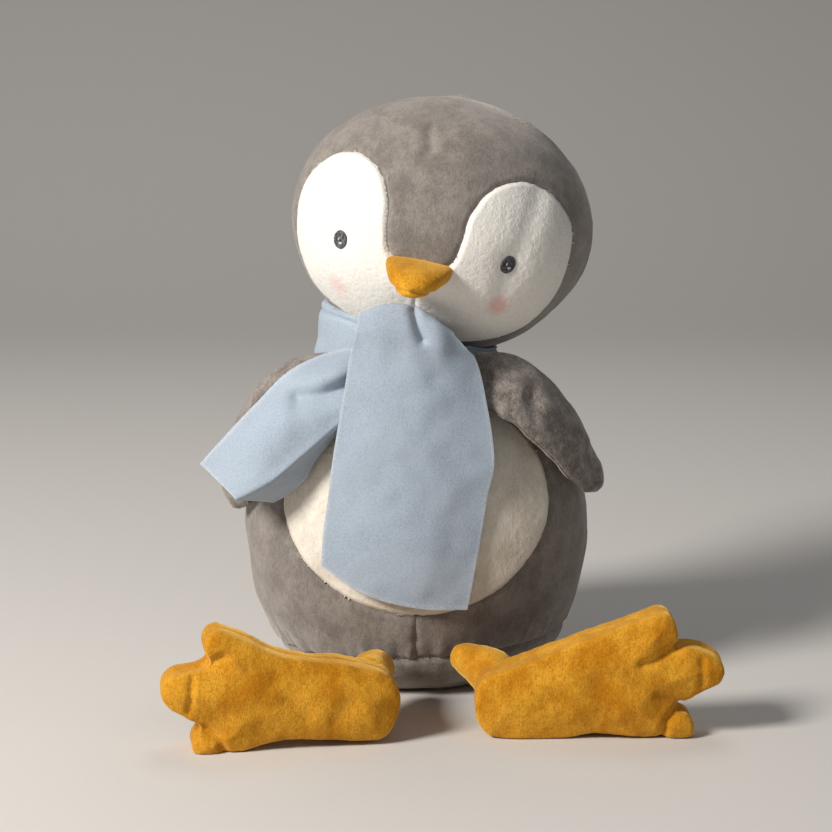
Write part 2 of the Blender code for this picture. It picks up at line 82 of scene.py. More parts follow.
# Body: height, half width and half depth of its sections
BODY_SECTIONS = [
    (0, 40, 33), (2, 46, 39), (8, 53, 46), (18, 62, 53), (34, 69.5, 59.5), (52, 73, 62),
    (70, 74, 62.5), (88, 71.5, 60), (104, 66, 55), (117, 58, 48), (127, 48, 40),
    (133, 38, 32), (136, 28, 24),
]
BODY_PANELS = (("belly", "cream"), ("base", "grey"), ("body_front_left", "grey"),
               ("body_front_right", "grey"), ("body_back_left", "grey"),
               ("body_back_right", "grey"))
BODY_TOP = 136.4
WADDING_TOP = 134.5
POUCH_TOP = 30.3
BASE_SEAM = 18.0
SIDE_SEAM = 5.0
BELLY_CENTRE = (0.0, 85.0)
BELLY_HALF = (56.0, 45.5)

# Wings: points down the middle of each flipper from neck to tip
WING_LINES = {
    "left": [(-26, -34, 136), (-35, -37, 134), (-51, -38, 128), (-66, -30, 112), (-75, -21, 92),
             (-77, -14, 76)],
    "right": [(22, -38, 138), (29, -41, 136.5), (46, -42, 128), (60, -37, 112.5), (69.5, -29, 98),
              (78.2, -21, 86)],
}
# Share along the flipper, half width, half thickness in mm and twist in degrees
WING_SHAPE = [(0.0, 9, 5.0, 50), (0.15, 12, 5.8, 50), (0.35, 16, 6.2, 44), (0.55, 15.5, 6.0, 36),
              (0.75, 13.2, 5.4, 32), (0.9, 10, 4.6, 34), (1.0, 6.4, 3.6, 38)]
# Hollows and swell on the right wing, with y halved
WING_DIMPLE = [(48, -23, 129.5), (49, -23, 127.5)]
WING_GROOVE = [(54, -20, 118), (62, -18, 110), (70, -14, 103)]
WING_SWELL = [(40, -23, 136), (56, -20, 124), (70, -14, 106)]

# Feet: outlines in each foot's own plane, heel at the origin and toes along +x
FOOT_OUTLINES = {
    "left": [
        (-0.1, -2.1), (2.0, 3.0), (7.1, 7.3), (24.9, 12.1), (37.3, 12.8), (50.9, 15.4), (60.9, 20.5),
        (68.3, 23.5), (73.2, 24.9), (77.8, 22.9), (79.6, 18.0), (78.0, 12.8), (75.4, 10.9),
        (85.0, 8.1), (90.4, 6.9), (94.4, 3.5), (95.6, -0.9), (92.8, -6.7), (87.0, -9.9),
        (80.8, -13.1), (76.2, -14.8), (80.9, -16.8), (83.2, -22.1), (81.6, -26.8), (77.3, -28.9),
        (73.0, -28.3), (66.9, -26.5), (59.6, -24.3), (49.7, -21.2), (38.6, -20.0), (28.6, -20.1),
        (18.6, -21.1), (9.8, -21.3), (4.8, -19.0), (0.7, -11.2)],
    "right": [
        (1.3, 3.1), (3.3, 8.2), (6.9, 10.7), (16.4, 13.2), (24.4, 15.1), (36.5, 17.9), (48.6, 20.9),
        (60.6, 23.5), (72.6, 26.4), (80.0, 27.6), (84.0, 24.8), (84.9, 19.4), (84.3, 14.7),
        (81.6, 11.7), (89.0, 11.8), (96.4, 8.6), (101.0, 4.5), (101.8, -0.6), (99.0, -5.2),
        (93.4, -7.2), (87.9, -9.2), (82.4, -11.2), (79.0, -12.5), (84.7, -15.6), (87.0, -20.4),
        (86.0, -24.8), (82.2, -26.9), (76.7, -26.4), (73.0, -25.1), (64.0, -23.4), (48.7, -19.6),
        (40.9, -19.5), (27.8, -19.8), (14.9, -18.2), (4.9, -14.5), (1.0, -9.2), (0.2, -2.2)],
}
# Creases on the sole (x, z), with how deep and how wide each pulls in
TOE_CREASES = {
    "left": [([(77.1, 11.2), (71.0, 14.8)], 1.7, 1.9),
             ([(83.1, 6.5), (83.5, -0.7), (84.2, -8.0)], 1.5, 1.4),
             ([(77.7, -14.6), (72.4, -17.7), (69.4, -25.5)], 2.2, 1.8),
             ([(62, 9), (66, 2)], 0.8, 4.0), ([(38, -9), (45, -3)], 1.0, 4.0),
             ([(22, -4), (27, -12)], 0.9, 4.0)],
    "right": [([(83.6, 12.2), (73.1, 8.6), (69.1, 8.4)], 2.3, 1.9),
              ([(92.9, 6.0), (91.5, -3.9)], 1.2, 1.4),
              ([(81.6, -12.2), (76.2, -16.6), (73.0, -24.3)], 2.3, 1.8),
              ([(73.0, -5.2), (82.2, -10.8)], 1.6, 1.8), ([(50, 4), (54, -6)], 0.7, 5.0)],
}
# Legs: centre (x, y, z) and radius from hip to ankle
LEG_LINES = {
    "left": [(-15, -59.5, 19, 4), (-16.5, -68, 20, 7.6), (-19, -80, 19.5, 9.8),
             (-20, -90, 20, 10.5)],
    "right": [(14.5, -60, 23, 3.2), (21.5, -66, 22.5, 7), (30, -75, 20.5, 9.6),
              (34, -83, 17.5, 10)],
}
ANKLES = {"left": (-18.341, -99.875, 22.21), "right": (34.386, -92.0, 15.614)}
# How far the heel is behind the ankle in mm, and how each foot stands in degrees
HEEL_BEHIND = 12.0
FOOT_RISE = {"left": 2.5, "right": 7.9}
FOOT_SWING = {"left": 9.0, "right": 0.0}


# ---- smooth numbers over points, all lengths in millimetres ----

def noise(points, size, seed=0):
    """Smooth random heights from about -1 to 1, one swell every size millimetres."""
    spot = points / size
    cell = np.floor(spot).astype(np.int64)
    inside = spot - cell
    fade = inside * inside * inside * (inside * (inside * 6 - 15) + 10)
    total = np.zeros(len(points))
    for corner in range(8):
        step = np.array((corner & 1, corner >> 1 & 1, corner >> 2 & 1))
        key = (cell + step) @ np.array((73856093, 19349663, 83492791)) + seed * 9781
        key = (key ^ key >> 15) * 2246822519 & 0xFFFFFFFF
        key = (key ^ key >> 13) * 668265263 & 0xFFFFFFFF
        key = key ^ key >> 16
        slope = np.stack((key & 1023, key >> 10 & 1023, key >> 20 & 1023), 1) / 511.5 - 1
        share = np.where(step, fade, 1 - fade).prod(1)
        total += share * ((inside - step) * slope).sum(1)
    return total * 1.6


def ease(value, low, high):
    """0 below low, 1 above high, smooth between."""
    t = np.clip((value - low) / (high - low), 0, 1)
    return t * t * (3 - 2 * t)


def hill(value, width):
    """1 where a value is 0, falling smoothly to 0 about two widths away."""
    return np.exp(-((value / width) ** 2))


def unit(ways):
    """The same directions, each with a length of 1."""
    return ways / np.linalg.norm(ways, axis=1)[:, None]


def shares(count, t):
    """How much each of count control points pulls on a smooth curve at each t."""
    place = np.clip(t, 0, 1) * (count - 1)
    first = np.minimum(place.astype(int), count - 2)
    f = place - first
    pulls = (-0.5 * f + f * f - 0.5 * f**3, 1 - 2.5 * f * f + 1.5 * f**3,
             0.5 * f + 2 * f * f - 1.5 * f**3, -0.5 * f * f + 0.5 * f**3)
    table = np.zeros((len(t), count + 2))
    rows = np.arange(len(t))
    for offset, pull in enumerate(pulls):
        table[rows, first + offset] += pull
    table[:, 1] += 2 * table[:, 0]
    table[:, 2] -= table[:, 0]
    table[:, -2] += 2 * table[:, -1]
    table[:, -3] -= table[:, -1]
    return table[:, 1:-1]


def follow(line, t):
    """Points of a smooth curve through a line's points, for t from 0 to 1."""
    line = np.asarray(line, float)
    return shares(len(line), np.asarray(t, float)) @ line


def heading(line, t):
    """Unit direction of a smooth curve at each t."""
    ahead = np.minimum(t + 0.01, 1)
    return unit(follow(line, ahead) - follow(line, ahead - 0.02))


def patch(net, u, v):
    """Points of a smooth sheet through a net of control points."""
    net = np.asarray(net, float)
    return np.einsum("ni,nj,ijk->nk", shares(net.shape[0], v), shares(net.shape[1], u), net)


def gap_to_line(points, line):
    """Distance of each point from a line of points."""
    best = np.full(len(points), 1e9)
    line = np.asarray(line, float)
    for start, end in zip(line, line[1:]):
        run = end - start
        t = np.clip((points - start) @ run / (run @ run), 0, 1)
        best = np.minimum(best, np.linalg.norm(points - start - t[:, None] * run, axis=1))
    return best


def ridge(points, line, width):
    """1 on a line, falling smoothly to 0 about two widths away."""
    return hill(gap_to_line(points, line), width)


def outline_gap(points, outline):
    """Signed distance from a closed flat outline, less than 0 inside, and the way out of it."""
    best = np.full(len(points), 1e9)
    way = np.zeros((len(points), 2))
    turns = np.zeros(len(points))
    for start, end in zip(outline, np.roll(outline, -1, axis=0)):
        run = end - start
        t = np.clip((points - start) @ run / (run @ run), 0, 1)
        away = points - start - t[:, None] * run
        far = np.linalg.norm(away, axis=1)
        closer = far < best
        best[closer] = far[closer]
        way[closer] = away[closer]
        crosses = (start[1] > points[:, 1]) != (end[1] > points[:, 1])
        rise = run[1] if abs(run[1]) > 1e-9 else 1e-9
        turns += crosses & (points[:, 0] < start[0] + run[0] * (points[:, 1] - start[1]) / rise)
    sign = np.where(turns % 2 == 1, -1.0, 1.0)
    return best * sign, way / np.maximum(best, 1e-6)[:, None] * sign[:, None]


def closed_curve(points, count):
    """A closed smooth outline through points."""
    ring = np.asarray(points, float)
    looped = np.vstack((ring[-2:], ring, ring[:3]))
    t = (np.arange(count) / count * len(ring) + 2) / (len(looped) - 1)
    return shares(len(looped), t) @ looped


# ---- meshes ----

def read(mesh):
    """The mesh's points in millimetres."""
    flat = np.zeros(len(mesh.vertices) * 3, np.float32)
    mesh.vertices.foreach_get("co", flat)
    return flat.reshape(-1, 3).astype(float) / MM


def write(mesh, points):
    mesh.vertices.foreach_set("co", (points * MM).astype(np.float32).ravel())
    mesh.update()


def corners(mesh):
    """Point numbers of each triangle."""
    flat = np.zeros(len(mesh.loops), np.int32)
    mesh.loops.foreach_get("vertex_index", flat)
    return flat.reshape(-1, 3)


def normals(mesh):
    flat = np.zeros(len(mesh.vertices) * 3, np.float32)
    mesh.vertex_normals.foreach_get("vector", flat)
    return flat.reshape(-1, 3).astype(float)


def made(shape):
    mesh = bpy.data.meshes.new("form")
    shape.to_mesh(mesh)
    shape.free()
    return mesh


def ball(cuts):
    """A closed ball of even triangles, and the direction of each point."""
    shape = bmesh.new()
    bmesh.ops.create_icosphere(shape, subdivisions=1, radius=1.0)
    bmesh.ops.subdivide_edges(shape, edges=shape.edges[:], cuts=cuts, use_grid_fill=True)
    bmesh.ops.triangulate(shape, faces=shape.faces)
    bmesh.ops.recalc_face_normals(shape, faces=shape.faces)
    mesh = made(shape)
    return mesh, unit(read(mesh))


def pod(around, along):
    """A closed pod with poles at both ends: each point's share along it and angle round it."""
    shape = bmesh.new()
    bmesh.ops.create_uvsphere(shape, u_segments=around, v_segments=along, radius=1.0)
    bmesh.ops.triangulate(shape, faces=shape.faces)
    mesh = made(shape)
    way = read(mesh) * MM
    return mesh, np.arccos(np.clip(-way[:, 2], -1, 1)) / math.pi, np.arctan2(way[:, 1], way[:, 0])


def strip(across, along):
    """A flat sheet: each point's share across and along it."""
    shape = bmesh.new()
    bmesh.ops.create_grid(shape, x_segments=across, y_segments=along, size=0.5)
    mesh = made(shape)
    way = read(mesh) * MM
    return mesh, way[:, 0] + 0.5, way[:, 1] + 0.5


def cut_out(mesh, keep):
    """A copy of a mesh with only some of its faces."""
    shape = bmesh.new()
    shape.from_mesh(mesh)
    waste = [face for face, kept in zip(shape.faces, keep) if not kept]
    bmesh.ops.delete(shape, geom=waste, context="FACES")
    bmesh.ops.dissolve_degenerate(shape, dist=0.06 * MM, edges=shape.edges[:])
    bmesh.ops.triangulate(shape, faces=shape.faces)
    return made(shape)


def seam_points(mesh, label):
    """Which points have faces of two different panels round them."""
    tri = corners(mesh)
    low = np.full(len(mesh.vertices), 99)
    high = np.full(len(mesh.vertices), -1)
    for column in range(3):
        np.minimum.at(low, tri[:, column], label)
        np.maximum.at(high, tri[:, column], label)
    return low != high


def snap(points, chosen, gap, out):
    """Move chosen points in x and z onto an outline, by their gap to it and the way out of it."""
    points[chosen, 0] -= (out[:, 0] * gap)[chosen]
    points[chosen, 2] -= (out[:, 1] * gap)[chosen]


def even_out(mesh, points, free, rounds):
    """Slide each free point towards the middle of its neighbours."""
    tri = corners(mesh)
    for _ in range(rounds):
        total = np.zeros_like(points)
        count = np.zeros(len(points))
        for first, second in ((0, 1), (1, 2), (2, 0)):
            for near, far in ((first, second), (second, first)):
                np.add.at(count, tri[:, near], 1)
                for axis in range(3):
                    beside = points[tri[:, far], axis]
                    total[:, axis] += np.bincount(tri[:, near], beside, len(points))
        points[free] = 0.4 * points[free] + 0.6 * (total / count[:, None])[free]


def halved(mesh, height, side):
    """The closed part of a form above a height, or below it if side is -1."""
    shape = bmesh.new()
    shape.from_mesh(mesh)
    bmesh.ops.bisect_plane(shape, geom=shape.verts[:] + shape.edges[:] + shape.faces[:],
                           plane_co=(0, 0, height * MM), plane_no=(0, 0, side), clear_inner=True)
    bmesh.ops.holes_fill(shape, edges=[edge for edge in shape.edges if edge.is_boundary])
    bmesh.ops.triangulate(shape, faces=shape.faces)
    return made(shape)


def show(name, data):
    """Put a mesh, lamp or camera into the scene."""
    item = bpy.data.objects.new(name, data)
    bpy.context.collection.objects.link(item)
    return item


def add(name, mesh, finish, body, slot, *nodes):
    """Show a mesh as one piece that moves with a body and stands for CAD nodes."""
    mesh.materials.clear()
    mesh.materials.append(finish)
    mesh.shade_smooth()
    item = show(name, mesh)
    if body:
        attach(item, body)
    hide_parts(*nodes)
    return item


def thicken(item, wall, offset=-1.0):
    """Give a skin its cloth's thickness."""
    solid = item.modifiers.new("cloth", "SOLIDIFY")
    solid.thickness = wall * MM
    solid.offset = offset
    solid.use_rim = True
    return item


def add_filling(part, mesh, finishes, body):
    return add(part + "_wadding", mesh, finishes["fibre"], body, "fibre_filling", part + "_filling")


def add_fleece(name, mesh, finishes):
    return add(name, mesh, finishes["fleece"], None, "blue_fleece", name)


def sew(mesh, label, parts, finishes, body):
    """Cut a skin into padded panels: parts has the name and pile of each label from 0 up."""
    for number, (name, pile) in enumerate(parts):
        panel = add(name, cut_out(mesh, label == number), finishes[pile], body, pile + "_pile",
                    name + "_panel")
        thicken(panel, PILE_WALL)


# ---- finishes ----

class Amount:
    """A number that changes over a surface; arithmetic on it adds Math nodes."""

    def __init__(self, finish, socket):
        self.finish = finish
        self.socket = socket

    def _math(self, operation, first, second):
        sockets = {0: first, 1: second}
        return self.finish.node("ShaderNodeMath", {"operation": operation}, sockets).amount(0)

    def __add__(self, other):
        return self._math("ADD", self, other)

    def __radd__(self, other):
        return self._math("ADD", other, self)

    def __sub__(self, other):
        return self._math("SUBTRACT", self, other)

    def __rsub__(self, other):
        return self._math("SUBTRACT", other, self)

    def __mul__(self, other):
        return self._math("MULTIPLY", self, other)

    def __rmul__(self, other):
        return self._math("MULTIPLY", other, self)


class Step:
    """A node of a finish, with its outputs at hand."""

    def __init__(self, finish, node):
        self.finish = finish
        self.node = node

    def amount(self, output):
        return Amount(self.finish, self.node.outputs[output])

    def link(self, output):
        return self.node.outputs[output]


class Finish:
    """A material and its shader, with one way to add a node."""

    def __init__(self, name, **constants):
        self.material = bpy.data.materials.new(name)
        self.material.use_nodes = True
        self.tree = self.material.node_tree
        self.shader = self.tree.nodes["Principled BSDF"]
        for socket, value in constants.items():
            self.shader.inputs[socket.replace("_", " ")].default_value = value
        self.place = self.node("ShaderNodeTexCoord").link("Object")

    def node(self, kind, settings=None, sockets=None):
        node = self.tree.nodes.new(kind)
        for name, value in (settings or {}).items():
            setattr(node, name, value)
        for name, value in (sockets or {}).items():
            self.feed(node.inputs[name], value)
        return Step(self, node)

    def feed(self, socket, value):
        if isinstance(value, Amount):
            value = value.socket
        if isinstance(value, bpy.types.NodeSocket):
            self.tree.links.new(value, socket)
        else:
            socket.default_value = value

    def wave(self, size, detail=2.0, rough=0.5, place=None):
        """Noise from 0 to 1 with one swell every size millimetres."""
        return self.node("ShaderNodeTexNoise", {"noise_dimensions": "3D"}, {
            "Vector": place or self.place, "Scale": 1 / (size * MM), "Detail": detail,
            "Roughness": rough}).amount("Fac")

    def span(self, value, low, high, to_low=0.0, to_high=1.0):
        """Stretch a range of a value to another, smooth at its ends."""
        return self.node("ShaderNodeMapRange", {"interpolation_type": "SMOOTHSTEP"}, {
            "Value": value, "From Min": low, "From Max": high, "To Min": to_low,
            "To Max": to_high}).amount("Result")

    def near(self, point, inner, outer):
        """1 within inner millimetres of a point, 0 beyond outer."""
        away = self.node("ShaderNodeVectorMath", {"operation": "DISTANCE"}, {
            0: self.place, 1: tuple(c * MM for c in point)}).amount("Value")
        return self.span(away, inner * MM, outer * MM, 1.0, 0.0)

    def mix(self, share, first, second):
        """A colour between two others."""
        step = self.node("ShaderNodeMix", {"data_type": "RGBA"}, {"Factor": share})
        for socket, colour in ((6, first), (7, second)):
            if isinstance(colour, tuple):
                colour = (*colour, 1.0)
            self.feed(step.node.inputs[socket], colour)
        return step.link(2)

    def bumps(self, height, distance, strength=1.0, below=None):
        """Surface relief of a height in millimetres."""
        sockets = {"Height": height, "Distance": distance * MM, "Strength": strength}
        if below is not None:
            sockets["Normal"] = below
        return self.node("ShaderNodeBump", None, sockets).link("Normal")

    def wear(self, colour, relief=None, rough=None):
        self.feed(self.shader.inputs["Base Color"], colour)
        if relief is not None:
            self.feed(self.shader.inputs["Normal"], relief)
        if rough is not None:
            self.feed(self.shader.inputs["Roughness"], rough)
        return self.material


def velvet_finish(name, deep, mid, light, glow, grain, swath, sheen, relief):
    """Short sewn pile: tufts with painted shade in the gaps between them and painted highlights on
    their tips, brushed in soft lighter and darker patches that are partly the pile's own random tone
    and partly painted sheen.
    """
    cloth = Finish(name, Sheen_Weight=sheen, Sheen_Roughness=0.5, Sheen_Tint=(*glow, 1.0),
                   Specular_IOR_Level=0.12)
    lying = cloth.node("ShaderNodeVectorMath", {"operation": "MULTIPLY"},
                       {0: cloth.place, 1: (1.0, 0.8, 0.5)}).link("Vector")
    nap = cloth.wave(swath, 2.0, 0.5)
    brushed = cloth.wave(swath * 0.25, 3.0, 0.6, lying)
    tuft = cloth.wave(grain, 2.0, 0.6, lying)
    hair = cloth.wave(grain * 0.42, 1.0, 0.5, lying)
    height = tuft * 0.5 + hair * 0.5
    # Brushed patches of the nap: partly the pile's own random tone, partly painted sheen where the
    # nap catches the light
    tone = cloth.span(nap * 0.6 + brushed * 0.4, 0.36, 0.64)
    # deep is the pile's colour in painted shade, mid its own colour and light its colour under a
    # painted highlight
    low = cloth.mix(tone, deep, mid)
    high = cloth.mix(tone, mid, light)
    # Painted shade in the low gaps between tufts and painted highlight on the raised tuft tips
    colour = cloth.mix(cloth.span(height, 0.32, 0.62), low, high)
    bumps = cloth.bumps(height, relief, 0.7)
    return cloth.wear(colour, bumps, cloth.span(height, 0.2, 0.8, 0.95, 0.8))


def face_finish(name, blush_points):
    """Longer white pile with painted shade in the gaps between its tufts and a soft rub of pink on
    each cheek.
    """
    cloth = Finish(name, Sheen_Weight=0.25, Sheen_Roughness=0.4, Specular_IOR_Level=0.12)
    tuft = cloth.wave(1.6, 3.0, 0.65)
    hair = cloth.wave(0.5, 1.0, 0.5)
    height = tuft * 0.7 + hair * 0.3
    # Painted shade: greyer white in the low gaps between tufts, paler white on their tips
    white = cloth.mix(cloth.span(height, 0.25, 0.6), (0.76, 0.735, 0.69), (0.85, 0.83, 0.785))
    mottle = cloth.wave(2.2, 2.0, 0.6)
    for point, strength in blush_points:
        rub = cloth.near(point, 1.5, 7.5) * strength * cloth.span(mottle, 0.2, 0.6, 0.6, 1.0)
        white = cloth.mix(rub, white, (0.80, 0.42, 0.38))
    bumps = cloth.bumps(height, 0.6, 0.8)
    return cloth.wear(white, bumps, cloth.span(height, 0.2, 0.8, 0.95, 0.85))


def fleece_finish(name):
    """Pale blue brushed fleece with paler cut edges, partly the fuzz of the cut and partly painted
    highlight where the edges catch the light.
    """
    cloth = Finish(name, Sheen_Weight=0.3, Sheen_Roughness=0.45, Sheen_Tint=(0.8, 0.86, 0.95, 1.0),
                   Specular_IOR_Level=0.1)
    fuzz = cloth.wave(0.7, 3.0, 0.65)
    patch_tone = cloth.wave(18.0, 2.0, 0.5)
    blue = cloth.mix(cloth.span(fuzz, 0.3, 0.62), (0.30, 0.365, 0.445), (0.385, 0.455, 0.54))
    blue = cloth.mix(cloth.span(patch_tone, 0.35, 0.7, 0.0, 0.25), blue, (0.45, 0.52, 0.605))
    # Paler along the cut edges: partly painted highlight where the edges catch the light
    edge = cloth.node("ShaderNodeAttribute", {"attribute_name": "edge"}).amount("Fac")
    blue = cloth.mix(edge * cloth.span(fuzz, 0.3, 0.6, 0.1, 0.5), blue, (0.60, 0.65, 0.71))
    return cloth.wear(blue, cloth.bumps(fuzz, 0.22, 0.7), cloth.span(fuzz, 0.2, 0.8, 0.95, 0.85))


def thread_finish(name, dark, light, twist):
    """Embroidery thread lying in close ridges."""
    cloth = Finish(name, Sheen_Weight=0.1, Specular_IOR_Level=0.4)
    fleck = cloth.wave(twist, 2.0, 0.6)
    colour = cloth.mix(cloth.span(fleck, 0.35, 0.7), dark, light)
    return cloth.wear(colour, cloth.bumps(fleck, 0.15, 0.6), cloth.span(fleck, 0.2, 0.8, 0.6, 0.4))


def filling_finish(name, dark, light, size):
    """Loose fibres or bagged beads inside, seen only if the toy is opened."""
    cloth = Finish(name, Specular_IOR_Level=0.1)
    lump = cloth.wave(size, 3.0, 0.6)
    colour = cloth.mix(cloth.span(lump, 0.3, 0.7), dark, light)
    return cloth.wear(colour, cloth.bumps(lump, 0.6, 0.6), cloth.span(lump, 0.2, 0.8, 1.0, 0.85))


# ---- head ----

HEAD_AXES = np.array(Matrix.Rotation(HEAD_LEAN, 3, "Y") @ Matrix.Rotation(HEAD_TURN, 3, "Z"))


def place_head(points):
    """From the head's own space to the toy's."""
    return np.asarray(points, float) @ HEAD_AXES.T + HEAD_CENTRE


def face_curve():
    half = np.array(FACE_HALF, float)
    mirrored = half[::-1] * (-1, 1)
    return closed_curve(np.vstack((half, mirrored[1:-1])), 180)


FACE_CURVE = face_curve()


def head_out(points):
    """Way out of the head's surface at points on it."""
    return unit(points / HEAD_HALF**2)


def head_swell(points):
    """Soft hollows and swells of the stuffed head, in millimetres outwards."""
    lift = 0.5 * noise(points, 30, 1) + 0.25 * noise(points, 12, 2)
    lift += 1.6 * ridge(points, CROWN_POINT, 4.0)
    lift -= 1.3 * ridge(points, FOREHEAD_DENT, 2.4)
    lift -= 0.7 * ridge(points, FOREHEAD_CURVE, 3.2)
    lift += 0.7 * ridge(points, FOREHEAD_RIDGE, 6.0)
    lift -= 3.2 * ridge(points, JAW_FLAT, 17.0)
    lift -= 0.9 * ridge(points, FOREHEAD_HOLLOW, 4.5)
    lift -= 0.85 * ridge(points, CHEEK_FOLD, 4.6)
    for x, z in EYES.values():
        away = np.hypot(points[:, 0] - x, points[:, 2] - z) + np.maximum(points[:, 1], 0)
        lift -= 0.9 * hill(away, 6.5)
    return lift


def on_head(x, z):
    """Points of the plain head's front at x and z."""
    rest = np.maximum(1 - (x / HEAD_HALF[0]) ** 2 - (z / HEAD_HALF[2]) ** 2, 0)
    return np.stack((x, -HEAD_HALF[1] * np.sqrt(rest), z), 1)


def make_head(finishes):
    mesh, way = ball(95)
    points = way * HEAD_HALF
    gap, out = outline_gap(points[:, [0, 2]], FACE_CURVE)
    gap = gap + 0.3 * noise(points, 2.6, 5) * np.clip(-points[:, 1] / 35, 0, 1)
    front = points[:, 1] < -4
    tri = corners(mesh)
    middle = points[tri].mean(1)
    face = (gap[tri].mean(1) < 0) & (middle[:, 1] < -4)
    label = np.where(face, np.where(middle[:, 0] < 0, 3, 4),
                     np.where(middle[:, 1] < CROWN_SEAM, 0, np.where(middle[:, 0] < 0, 1, 2)))
    on_seam = seam_points(mesh, label)
    to_face = on_seam & front & (np.abs(gap) < 1.3)
    snap(points, to_face, gap, out)
    points[to_face] = on_head(points[to_face, 0], points[to_face, 2])
    to_crown = on_seam & (np.abs(points[:, 1] - CROWN_SEAM) < 1.0)
    points[to_crown, 1] = CROWN_SEAM
    to_middle = on_seam & ~to_face & ~to_crown & (np.abs(points[:, 0]) < 1.2)
    points[to_middle, 0] = 0
    points /= np.linalg.norm(points / HEAD_HALF, axis=1)[:, None]
    even_out(mesh, points, ~on_seam & front & (np.abs(gap) < 4), 4)
    points /= np.linalg.norm(points / HEAD_HALF, axis=1)[:, None]
    gap = np.where(to_face, 0, outline_gap(points[:, [0, 2]], FACE_CURVE)[0])

    white = front & (gap < 0)
    face_seam = np.where(front, np.abs(gap), 99)
    other = np.minimum(np.where(white, 99, np.abs(points[:, 1] - CROWN_SEAM)),
                       np.where(white | (points[:, 1] > CROWN_SEAM), np.abs(points[:, 0]), 99))
    lift = head_swell(points)
    lift += np.where(white, 0.09 * noise(points, 2.4, 7) + 0.05 * noise(points, 1.5, 8),
                     0.05 * noise(points, 2.4, 9) + 0.03 * noise(points, 1.5, 10))
    lift += np.where(white, 1.1 * ease(face_seam, 0, 1.8), 0.35 * ease(face_seam, 0, 2.2))
    lift -= 0.55 * hill(face_seam, 1.0)
    lift -= (0.75 + 0.3 * noise(points, 5, 11)) * hill(other, 1.1)
    lift += 0.35 * noise(points, 6, 12) * hill(other, 4.5)
    write(mesh, place_head(points + head_out(points) * lift[:, None]))
    sew(mesh, label, HEAD_PANELS, finishes, "head")
    core, way = ball(22)
    write(core, place_head(way * (HEAD_HALF - HEAD_PAD_INSET)))
    add_filling("head", core, finishes, "head")


def make_eyes(finishes):
    for side, (cx, cz) in EYES.items():
        tilt = math.radians(EYE_TILT[side])
        mesh = pod(48, 40)[0]
        way = read(mesh) * MM
        across, up = EYE_HALF[0] * way[:, 0], EYE_HALF[1] * way[:, 2]
        x = cx + across * math.cos(tilt) - up * math.sin(tilt)
        z = cz + across * math.sin(tilt) + up * math.cos(tilt)
        base = on_head(x, z)
        stitches = 0.14 * np.sin((x * 0.8 + z * 0.6) * 2 * math.pi / 0.75)
        rise = 1.05 + 0.85 * np.maximum(-way[:, 1], 0) ** 0.6 + stitches * (way[:, 1] < -0.1)
        rise = np.where(way[:, 1] > 0, 1.05 - 1.5 * way[:, 1], rise)
        flat = base + head_out(base) * (head_swell(base) + rise)[:, None]
        write(mesh, place_head(flat))
        add("eye_" + side, mesh, finishes["charcoal"], "head", "charcoal_thread", "eye_" + side)
        for letter, (gx, gz, wide, tall) in GLINTS.items():
            glint = pod(16, 12)[0]
            way = read(glint) * MM
            x = cx + gx + wide * way[:, 0]
            z = cz + gz + tall * way[:, 2] + 0.3 * way[:, 0] * tall
            base = on_head(x, z)
            lift = head_swell(base) + 1.8 + 0.3 * -way[:, 1]
            write(glint, place_head(base + head_out(base) * lift[:, None]))
            name = "eye_" + side + "_light_stitch_" + letter
            add(name, glint, finishes["pale_thread"], "head", "charcoal_thread")


def make_beak(finishes):
    mesh, t, angle = pod(160, 110)
    line = follow(BEAK_LINE, np.linspace(0, 1, 60))
    rows = [np.interp(t, np.linspace(0, 1, 60), line[:, k]) for k in range(5)]
    close = np.sqrt(np.clip(1 - ((t - 0.86) / 0.14).clip(0) ** 2, 0, 1))
    close *= np.sqrt(np.clip(t / 0.06, 0, 1))
    wide, rise, drop, y, z = rows
    y = y - 1.6 * (1 - close) * (t > 0.5)
    co, si = np.cos(angle), np.sin(angle)
    height = np.where(si > 0, rise * np.abs(si) ** 0.8, -drop * np.abs(si) ** 1.1)
    points = np.stack((wide * close * np.sign(co) * np.abs(co) ** 0.85, y, z + height * close), 1)
    write(mesh, points)
    way = normals(mesh)
    mouth = np.abs(points[:, 2] - MOUTH_Z)
    lift = 0.3 * noise(points, 9, 21)
    lift += 0.05 * noise(points, 1.6, 22) + 0.04 * noise(points, 0.9, 23)
    lift -= 0.95 * hill(mouth, 0.75) * (points[:, 1] < -52)
    write(mesh, points + way * lift[:, None])
    for name, side in (("beak_upper", 1), ("beak_lower", -1)):
        half = halved(mesh, MOUTH_Z, side)
        write(half, place_head(read(half)))
        add(name, half, finishes["mustard"], "head", "mustard_pile", name)


# ---- body ----

BODY_LINE = follow(BODY_SECTIONS, np.linspace(0, 1, 260))
BODY_PROFILE = np.vstack(([(1.2, 0.0, 0.0), (0.8, 18, 15)], BODY_LINE,
                          [(136.2, 14, 12), (136.2, 0, 0)]))


def body_front(x, z, clear=0.0):
    """y of the body's front surface."""
    wide = np.interp(z, BODY_LINE[:, 0], BODY_LINE[:, 1])
    deep = np.interp(z, BODY_LINE[:, 0], BODY_LINE[:, 2])
    return -deep * np.sqrt(np.maximum(1 - (x / wide) ** 2, 0)) - clear


def body_points(way, inset=0.0):
    """Points on the body for directions from a ball."""
    steps = np.linalg.norm(np.diff(BODY_PROFILE, axis=0), axis=1)
    run = np.concatenate(([0], np.cumsum(steps)))
    place = np.arccos(np.clip(-way[:, 2], -1, 1)) / math.pi * run[-1]
    z, wide, deep = (np.interp(place, run, BODY_PROFILE[:, k]) for k in range(3))
    around = np.maximum(np.hypot(way[:, 0], way[:, 1]), 1e-9)
    co, si = way[:, 0] / around, way[:, 1] / around
    wide = wide - inset * (wide > inset)
    deep = deep - inset * (deep > inset)
    return np.stack((co * wide, si * deep, z), 1)


